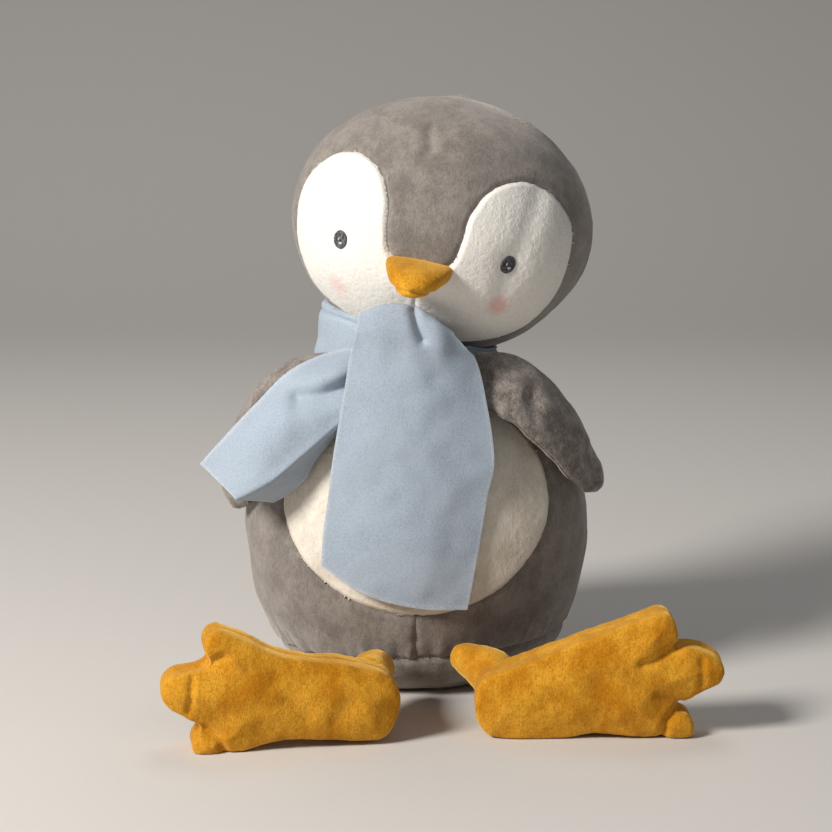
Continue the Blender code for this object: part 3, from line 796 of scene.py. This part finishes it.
def make_body(finishes):
    mesh, way = ball(111)
    points = body_points(way)
    write(mesh, points)
    way = normals(mesh)
    belly = closed_curve([(BELLY_CENTRE[0] + BELLY_HALF[0] * math.cos(a),
                           BELLY_CENTRE[1] + BELLY_HALF[1] * math.sin(a))
                          for a in np.arange(24) * math.pi / 12], 120)
    gap, out = outline_gap(points[:, [0, 2]], belly)
    gap = gap + 0.32 * noise(points, 3.0, 31)
    base_seam = BASE_SEAM + 0.06 * points[:, 0] - 0.02 * points[:, 1]
    front = points[:, 1] < -4
    tri = corners(mesh)
    middle = points[tri].mean(1)
    in_belly = (gap[tri].mean(1) < 0) & (middle[:, 1] < -4)
    low = (points[:, 2] - base_seam)[tri].mean(1) < 0
    left = middle[:, 0] < 0
    label = np.where(in_belly, 0, np.where(low, 1, np.where(middle[:, 1] < SIDE_SEAM,
                     np.where(left, 2, 3), np.where(left, 4, 5))))
    on_seam = seam_points(mesh, label)
    to_belly = on_seam & front & (np.abs(gap) < 1.5)
    snap(points, to_belly, gap, out)
    points[to_belly, 1] = body_front(points[to_belly, 0], points[to_belly, 2])
    to_base = on_seam & ~to_belly & (np.abs(points[:, 2] - base_seam) < 1.2)
    points[to_base, 2] = base_seam[to_base]
    to_side = on_seam & ~to_belly & ~to_base & (np.abs(points[:, 1] - SIDE_SEAM) < 1.2)
    points[to_side, 1] = SIDE_SEAM
    to_middle = on_seam & ~to_belly & ~to_base & ~to_side & (np.abs(points[:, 0]) < 1.2)
    points[to_middle, 0] = 0
    even_out(mesh, points, ~on_seam & front & (np.abs(gap) < 4), 4)
    gap = np.where(to_belly, 0, outline_gap(points[:, [0, 2]], belly)[0])
    cream = front & (gap < 0)
    belly_seam = np.where(front, np.abs(gap), 99)
    base_gap = np.abs(points[:, 2] - base_seam)
    above = points[:, 2] > base_seam
    other = np.minimum(base_gap, np.where(above & ~cream, np.minimum(
        np.abs(points[:, 0]), np.abs(points[:, 1] - SIDE_SEAM)), 99))
    other = np.where(cream, 99, other)
    turn = np.arctan2(points[:, 1], points[:, 0])
    lift = 0.8 * noise(points, 34, 33) + 0.55 * noise(points, 14, 34)
    pucker = noise(np.stack((turn * 60, points[:, 2] * 0.18, turn * 0), 1), 5.0, 35)
    lift += 0.9 * pucker * hill(base_gap, 9.0) * (0.4 + 0.6 * above)
    lift += 1.2 * hill(points[:, 2] - base_seam + 7, 6.0) * ~above
    lift += np.where(cream, 0.12 * noise(points, 2.6, 36) + 0.07 * noise(points, 1.6, 37),
                     0.06 * noise(points, 2.6, 38) + 0.03 * noise(points, 1.6, 39))
    lift += np.where(cream, 1.2 * ease(belly_seam, 0, 2.2), 0.3 * ease(belly_seam, 0, 2.5))
    lift -= 0.6 * hill(belly_seam, 1.1)
    lift -= (0.9 + 0.3 * noise(points, 6, 40)) * hill(other, 1.2)
    lift += 0.35 * noise(points, 7, 41) * hill(other, 5.0)
    shaped = points + way * lift[:, None]
    shaped[:, 2] = np.clip(shaped[:, 2], 0.0, BODY_TOP)
    write(mesh, shaped)
    sew(mesh, label, BODY_PANELS, finishes, "torso")
    core, way = ball(22)
    write(core, body_points(way, BODY_PAD_INSET))
    core = halved(core, POUCH_TOP, 1)
    inner = read(core)
    inner[:, 2] = np.minimum(inner[:, 2], WADDING_TOP)
    write(core, inner)
    add_filling("body", core, finishes, "torso")


# ---- wings ----

def wing_points(side, t, angle, inset=0.0):
    """Points on a flipper for a share along it and an angle round it."""
    sign = -1 if side == "left" else 1
    shape = np.array(WING_SHAPE)
    wide, thick, twist = (np.interp(t, shape[:, 0], shape[:, k]) for k in (1, 2, 3))
    centre = follow(WING_LINES[side], t)
    run = heading(WING_LINES[side], t)
    across = unit(np.array((0, 1, 0)) - run * run[:, 1:2])
    up = np.cross(run, across) * sign
    co, si = np.cos(np.radians(twist))[:, None], np.sin(np.radians(twist))[:, None]
    width = across * co + up * si
    outward = up * co - across * si
    close = np.sqrt(np.clip(np.minimum(t / 0.05, (1 - t) / 0.09), 0, 1))
    wide = np.maximum(wide * close - inset, 0)
    thick = np.maximum(thick * np.sqrt(close) * (close > 0) - inset, 0)
    co, si = np.cos(angle), np.sin(angle)
    lens = np.sign(si) * np.abs(si) ** 1.15
    return centre + width * (wide * co)[:, None] + outward * (thick * lens)[:, None]


def make_wing(side, finishes):
    mesh, t, angle = pod(132, 150)
    points = wing_points(side, t, angle)
    write(mesh, points)
    way = normals(mesh)
    lift = 0.9 * noise(points, 15, 51) + 0.55 * noise(points, 7.5, 52)
    lift += 0.12 * noise(points * (1, 1, 0.6), 2.2, 53) + 0.06 * noise(points, 1.4, 54)
    lift -= 0.6 * hill(np.sin(angle), 0.1)
    lift *= ease(t, 0.0, 0.1)
    if side == "right":
        flat = points * (1, 0.5, 1)
        lift -= 3.4 * ridge(flat, WING_DIMPLE, 3.6)
        lift -= 1.6 * ridge(flat, WING_GROOVE, 1.9)
        lift += 0.7 * ridge(flat, WING_SWELL, 3.5)
    write(mesh, points + way * lift[:, None])
    tri = corners(mesh)
    outer = np.sin(angle)[tri].mean(1) > 0
    for place, keep in (("outer", outer), ("inner", ~outer)):
        name = "wing_" + side + "_" + place
        panel = add(name, cut_out(mesh, keep), finishes["wing"], None, "grey_pile", name + "_panel")
        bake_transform(thicken(panel, WING_WALL))
    core, t, angle = pod(40, 40)
    points = wing_points(side, t, angle, WING_PAD_INSET)
    if side == "right":
        inward = points - wing_points(side, t, angle)
        hollow = np.sin(angle) > 0
        inward /= np.maximum(np.linalg.norm(inward, axis=1), 0.1)[:, None]
        points += inward * (3.6 * hollow * ridge(points * (1, 0.5, 1), WING_DIMPLE, 4.6))[:, None]
    write(core, points)
    pad = add_filling("wing_" + side, core, finishes, None)
    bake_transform(pad)


# ---- legs and feet ----

def foot_axes(side, sign):
    return np.array(Matrix.Rotation(math.radians(FOOT_SWING[side]), 3, "Z")
                    @ Matrix.Rotation(math.radians(-sign * FOOT_RISE[side]), 3, "Y"))


def foot_pattern(outline):
    """The two foot panels laid face to face and filled a little, heel at the origin."""
    shape = bmesh.new()
    face = shape.faces.new([shape.verts.new((x * MM, -9.0 * MM, z * MM)) for x, z in outline])
    moved = bmesh.ops.extrude_face_region(shape, geom=[face])["geom"]
    verts = [item for item in moved if isinstance(item, bmesh.types.BMVert)]
    bmesh.ops.translate(shape, vec=(0, 18 * MM, 0), verts=verts)
    bmesh.ops.triangulate(shape, faces=shape.faces)
    bmesh.ops.recalc_face_normals(shape, faces=shape.faces)
    return made(shape)


def stuffed(mesh, voxel, smooth, levels):
    """Even out a closed form, round its edges and make its mesh finer."""
    item = show("pattern", mesh)
    even = item.modifiers.new("even", "REMESH")
    even.mode = "VOXEL"
    even.voxel_size = voxel * MM
    soften = item.modifiers.new("soften", "SMOOTH")
    soften.factor = 0.5
    soften.iterations = smooth
    finer = item.modifiers.new("finer", "SUBSURF")
    finer.levels = levels
    finer.render_levels = levels
    graph = bpy.context.evaluated_depsgraph_get()
    result = bpy.data.meshes.new_from_object(item.evaluated_get(graph))
    bpy.data.objects.remove(item)
    return result


def make_foot(side, finishes):
    sign = -1 if side == "left" else 1
    outline = closed_curve(FOOT_OUTLINES[side], 160)
    mesh = stuffed(foot_pattern(outline), 1.3, 9, 1)
    points = read(mesh)
    way = normals(mesh)
    gap = outline_gap(points[:, [0, 2]], outline)[0]
    seed = 61 if side == "left" else 71
    lift = 3.4 * ease(-gap, -1, 15) - 0.5
    lift += 0.7 * noise(points, 20, seed) + 0.35 * noise(points, 9, seed + 1)
    lift += 0.1 * noise(points, 2.4, seed + 2) + 0.07 * noise(points, 1.5, seed + 3)
    lift -= 0.55 * hill(points[:, 1], 0.8)
    facing = points * (1, 0.25, 1) + (0, 3, 0)
    for line, depth, width in TOE_CREASES[side]:
        lift -= depth * ridge(facing, [(x, 0, z) for x, z in line], width)
    points = points + way * lift[:, None]
    points[:, 0] -= HEEL_BEHIND
    points[:, 0] *= sign
    write(mesh, points @ foot_axes(side, sign).T + ANKLES[side])
    if sign < 0:
        mesh.flip_normals()
    placed = read(mesh)
    placed[:, 2] = (placed[:, 2] + np.sqrt(placed[:, 2] ** 2 + 1.2)) / 2
    write(mesh, placed)
    node = "foot_" + side
    foot = add(node, mesh, finishes["mustard"], node, "mustard_pile", node + "_sole_panel",
               node + "_upper_panel", node + "_filling")


def make_leg(side, finishes):
    mesh, t, angle = pod(80, 90)
    line = np.array(LEG_LINES[side], float)
    run = heading(line[:, :3], t)
    across = unit(np.cross(run, (0, 0, 1)))
    up = np.cross(across, run)
    close = np.sqrt(np.clip(np.minimum(t / 0.12, (1 - t) / 0.05), 0, 1))
    wide = follow(line[:, 3:], t)[:, 0] * close
    points = follow(line[:, :3], t) + across * (np.cos(angle) * wide)[:, None]
    points += up * (np.sin(angle) * wide)[:, None]
    write(mesh, points)
    way = normals(mesh)
    lift = 0.5 * noise(points, 8, 81) + 0.1 * noise(points, 2.4, 82) + 0.06 * noise(points, 1.5, 83)
    write(mesh, points + way * lift[:, None])
    node = "leg_" + side
    leg = add(node, mesh, finishes["mustard"], node, "mustard_pile", node + "_panel",
              node + "_filling")


# ---- scarf ----

# Section of the turn round the neck: mm outwards, and share of its half height upwards
COLLAR_FOLD = [(-3.0, 0.15), (-2.8, 0.8), (-0.5, 1.0), (1.5, 0.88), (1.1, 0.66), (2.5, 0.52),
               (3.0, 0.1), (3.3, -0.4), (4.8, -0.92), (3.2, -1.08), (-1.8, -0.8), (-2.8, -0.1)]
# Nets of the two ends, each row across the cloth, from the neck to the cut edge
FRONT_NET = [
    [(-18, -42.5, 151), (-8, -44.5, 152), (2, -44.5, 151), (10, -43.5, 148)],
    [(-20, -51.5, 160), (-10, -54, 162.5), (1, -54.3, 161.5), (12, -52.5, 153.5)],
    [(-22.3, -55.2, 164.5), (-12, -57.2, 168.2), (1, -57.8, 166.7), (14.5, -56.4, 157.3)],
    [(-24, -56.5, 158), (-12, -59.8, 160), (3, -60.5, 158), (20, -54, 151)],
    [(-26.3, -55, 149), (-12, -58.8, 149), (6, -60, 147), (24, -52, 145.5)],
    [(-29, -56, 133), (-13, -60, 133), (7, -61, 132), (27.8, -54, 132)],
    [(-33, -58.5, 110), (-14, -62.5, 110), (8, -63.5, 108), (31.8, -59, 106)],
    [(-36, -59.5, 88), (-15, -64, 88), (6, -64.8, 87), (29, -60, 90)],
    [(-38, -60, 73), (-16, -65, 71), (5, -65.5, 68), (25.7, -61.5, 69)],
    [(-38.7, -60.5, 61), (-20, -65, 50), (2, -65.5, 44.5), (21, -63.5, 43.3)],
]
SIDE_NET = [
    [(-18, -40, 148), (-19, -52, 140), (-18, -55, 129), (-18, -55.5, 127), (-17, -53.5, 124),
     (-15, -51, 122)],
    [(-33, -36, 146), (-33, -54, 138), (-31, -57.5, 123), (-31, -57.5, 120.5), (-31, -55, 118.5),
     (-30, -51.5, 117)],
    [(-51, -40, 139), (-48, -55.5, 127), (-47, -58.7, 109.5), (-47, -58.5, 106.8),
     (-45.5, -55.5, 106), (-41.5, -49.5, 104)],
    [(-66, -40, 124.5), (-61, -55, 114), (-58, -58.7, 100), (-57.6, -58.5, 97.5), (-55, -55.8, 97),
     (-46, -48, 95.5)],
    [(-79, -38, 110.6), (-72, -51, 103), (-67, -57.8, 94.2), (-66, -57.5, 92), (-62.5, -54.5, 91.5),
     (-52.5, -45.5, 89)],
    [(-90, -34, 98), (-82, -45, 93.5), (-75, -54.5, 89), (-73.5, -54.5, 87.8), (-69.5, -51.5, 87.3),
     (-59.5, -43.5, 84.5)],
]
# Folds of the two ends, with y times 0.3
CHIN_PLEAT = [(-1.0, -16.5, 166), (0.5, -16.8, 160), (2.6, -17, 155)]
PLEAT_RUN = [(2, -17, 156), (7, -17.5, 140)]
PLEAT_LOBE = [(9, -16.5, 160), (10, -17, 153)]
SIDE_VALLEY = [(-24, -16, 136), (-37, -16, 131), (-48, -15.5, 128.5)]


def mark_edge(mesh, u, v, across, along):
    """Keep how close each point of a sheet is to its cut edges."""
    side = np.minimum(u, 1 - u) * across
    end = np.minimum(v, 1 - v) * along
    edge = 1 - ease(np.minimum(side, end), 0.2, 1.6)
    mesh.attributes.new("edge", "FLOAT", "POINT").data.foreach_set("value", edge.astype(np.float32))


def hem(item):
    """Fleece thickness with rounded cut edges."""
    thicken(item, SCARF_WALL, 0.0)
    soft = item.modifiers.new("rounding", "BEVEL")
    soft.width = HEM_ROUNDING * MM
    soft.segments = 2
    soft.limit_method = "ANGLE"
    soft.angle_limit = math.radians(50)


def make_collar(finishes):
    mesh, u, v = strip(300, 60)
    turn = u * 2 * math.pi
    fold = follow(COLLAR_FOLD, v)
    co, si = np.cos(turn), np.sin(turn)
    tucked = np.maximum(ease(si, 0.1, 0.8), ease(-si, 0.75, 0.95))
    centre = 147.2 - 4.4 * co - 2.6 * tucked
    half = 8.0 - 3.0 * co - 1.8 * tucked
    radius_x = 34.0 - 3.6 * co
    ring = np.stack((co, si, turn * 0), 1)
    wander = noise(ring * 36, 16, 91)
    out = fold[:, 0] + 0.8 * wander + 0.5 * noise(ring * 36 + fold[:, 1:2] * (0, 0, 9), 8, 92)
    points = np.stack((co * (radius_x + out), si * (35.0 + out),
                       centre + fold[:, 1] * half + 0.7 * noise(ring * 36, 20, 93)), 1)
    within = (points - HEAD_CENTRE) @ HEAD_AXES
    room = 1.6 + 3.4 * tucked
    depth = np.linalg.norm(within / (HEAD_HALF + room[:, None]), axis=1)
    within /= np.minimum(depth, 1)[:, None]
    write(mesh, place_head(within))
    mesh.attributes.new("edge", "FLOAT", "POINT")
    shape = bmesh.new()
    shape.from_mesh(mesh)
    bmesh.ops.remove_doubles(shape, verts=shape.verts, dist=0.02 * MM)
    bmesh.ops.recalc_face_normals(shape, faces=shape.faces)
    item = add_fleece("scarf_collar", made(shape), finishes)
    thicken(item, COLLAR_WALL, 0.0)
    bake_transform(item)


def make_front_end(finishes):
    mesh, u, v = strip(90, 190)
    points = patch(FRONT_NET, u, v)
    points[:, 1] -= 0.64 * np.sin(np.pi * u) ** 0.8 * ease(v, 0.35, 0.6)
    flat = points * (1, 0.3, 1)
    points[:, 1] += 4.0 * ridge(flat, CHIN_PLEAT, 2.1)
    points[:, 1] += 0.9 * ridge(flat, PLEAT_RUN, 5.0)
    points[:, 1] -= 1.5 * ridge(flat, PLEAT_LOBE, 4.5)
    points[:, 1] += 0.9 * noise(points * (1, 0.2, 0.55), 22, 101) * ease(v, 0.25, 0.5)
    points[:, 1] += 0.35 * noise(points, 9, 102)
    front = body_front(points[:, 0], points[:, 2], 1.9)
    points[:, 1] = np.where(points[:, 2] < 128, np.minimum(points[:, 1], front), points[:, 1])
    write(mesh, points)
    mark_edge(mesh, u, v, 55, 140)
    item = add_fleece("scarf_front_end", mesh, finishes)
    hem(item)
    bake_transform(item)


def make_side_end(finishes):
    mesh, u, v = strip(80, 110)
    points = patch(SIDE_NET, u, v)
    points[:, 1] += 6.5 * ridge(points * (1, 0.3, 1), SIDE_VALLEY, 4.4)
    points[:, 1] -= 1.5 * ridge(points * (1, 0.3, 1), np.add(SIDE_VALLEY, (-3, 0, 9)), 5.0)
    points[:, 1] += 0.5 * noise(points, 14, 111) + 0.25 * noise(points, 7, 112)
    write(mesh, points)
    mark_edge(mesh, u, np.minimum(v, 0.99), 50, 75)
    item = add_fleece("scarf_side_end", mesh, finishes)
    hem(item)
    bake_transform(item)


# ---- the toy, the light and the camera ----

def look(item, place, aim):
    """Stand a lamp or the camera at a place and turn it to a point, both in metres."""
    item.location = place
    item.rotation_euler = (Vector(aim) - Vector(place)).to_track_quat("-Z", "Y").to_euler()


def light(name, place, aim, size, power, colour):
    lamp = bpy.data.lights.new(name, "AREA")
    lamp.shape = "DISK"
    lamp.size = size
    lamp.energy = power
    lamp.color = colour
    look(show(name, lamp), place, aim)


def make_studio():
    floor = Finish("studio_paper", Specular_IOR_Level=0.1)
    grain = floor.wave(2.0, 2.0, 0.5)
    paper = floor.wear(floor.mix(grain, (0.63, 0.61, 0.585), (0.66, 0.64, 0.615)),
                       floor.bumps(grain, 0.05, 0.3), floor.span(grain, 0.0, 1.0, 0.8, 0.9))
    shape = bmesh.new()
    bmesh.ops.create_grid(shape, x_segments=4, y_segments=160, size=4.0)
    mesh = made(shape)
    sweep = read(mesh)
    sweep[:, 2] += 2600 * ease(sweep[:, 1], 900, 3400) ** 1.3
    write(mesh, sweep)
    mesh.shade_smooth()
    mesh.materials.append(paper)
    show("studio_floor", mesh)
    light("key", (-1.0, -0.78, 0.93), (0, -0.03, 0.12), 0.45, 28.0, (1.0, 0.955, 0.9))
    light("fill", (0.9, -0.9, 0.5), (0, 0, 0.12), 0.9, 0.7, (0.95, 0.97, 1.0))
    light("top", (0.1, 0.5, 1.1), (0, 0, 0.15), 0.6, 2.5, (1.0, 0.98, 0.96))
    world = bpy.data.worlds.new("studio")
    world.use_nodes = True
    sky = world.node_tree.nodes["Background"]
    sky.inputs["Color"].default_value = (0.9, 0.92, 0.95, 1.0)
    sky.inputs["Strength"].default_value = 0.12
    bpy.context.scene.world = world
    lens = bpy.data.cameras.new("camera")
    lens.lens = 100.0
    lens.sensor_width = 36.0
    camera = show("camera", lens)
    look(camera, (0, -0.98163, 0.30281), (0, 0, 0.112))
    bpy.context.scene.camera = camera
    bpy.context.scene.view_settings.view_transform = "Standard"


def make_finishes():
    return {
        # Velvet piles: colour in painted shade, own colour, colour under a painted highlight, sheen
        # tint, tuft size and patch size in mm, sheen weight and bump distance in mm
        "grey": velvet_finish("grey_velvet", (0.15, 0.133, 0.12), (0.215, 0.191, 0.174),
                              (0.30, 0.27, 0.246), (0.8, 0.76, 0.72), 0.8, 9.0, 0.5, 0.4),
        "wing": velvet_finish("grey_wing_pile", (0.095, 0.082, 0.072), (0.185, 0.163, 0.147),
                              (0.34, 0.308, 0.282), (0.8, 0.76, 0.72), 0.9, 6.0, 0.5, 0.5),
        "white": face_finish("white_face_pile", [(place_head([BLUSH["left"]])[0], 0.4),
                                                 (place_head([BLUSH["right"]])[0], 0.7)]),
        "cream": velvet_finish("cream_belly_pile", (0.64, 0.575, 0.485), (0.74, 0.69, 0.60),
                               (0.82, 0.775, 0.69), (1.0, 0.95, 0.86), 1.1, 12.0, 0.3, 0.45),
        "mustard": velvet_finish("mustard_nubby_pile", (0.36, 0.125, 0.002), (0.50, 0.195, 0.003),
                                 (0.76, 0.39, 0.035), (1.0, 0.66, 0.2), 0.7, 20.0, 0.8, 0.36),
        "fleece": fleece_finish("blue_fleece"),
        "charcoal": thread_finish("charcoal_thread", (0.018, 0.019, 0.022),
                                  (0.15, 0.155, 0.17), 1.0),
        "pale_thread": thread_finish("pale_thread", (0.45, 0.46, 0.48), (0.88, 0.88, 0.9), 0.5),
        "fibre": filling_finish("loose_fibre", (0.7, 0.7, 0.69), (0.9, 0.9, 0.9), 2.5),
        "beads": filling_finish("bead_bag", (0.55, 0.54, 0.5), (0.75, 0.74, 0.7), 3.0),
    }


def dress_inner_nodes(finishes):
    """Give the hidden solids that stay the finish of what they are."""
    for name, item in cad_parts.items():
        if item.hide_render:
            continue
        finish = finishes["beads"] if name == "pellet_pouch" else finishes["fibre"]
        for number in range(len(item.material_slots)):
            item.material_slots[number].material = finish


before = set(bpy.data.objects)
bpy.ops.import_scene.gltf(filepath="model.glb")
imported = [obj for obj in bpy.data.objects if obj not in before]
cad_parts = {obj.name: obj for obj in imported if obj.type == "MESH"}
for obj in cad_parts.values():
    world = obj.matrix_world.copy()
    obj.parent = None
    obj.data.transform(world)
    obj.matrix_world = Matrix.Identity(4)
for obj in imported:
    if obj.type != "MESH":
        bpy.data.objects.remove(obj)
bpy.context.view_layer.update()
make_studio()
FINISHES = make_finishes()
make_body(FINISHES)
make_head(FINISHES)
make_eyes(FINISHES)
make_beak(FINISHES)
for hand in ("left", "right"):
    make_wing(hand, FINISHES)
    make_leg(hand, FINISHES)
    make_foot(hand, FINISHES)
make_collar(FINISHES)
make_front_end(FINISHES)
make_side_end(FINISHES)
dress_inner_nodes(FINISHES)
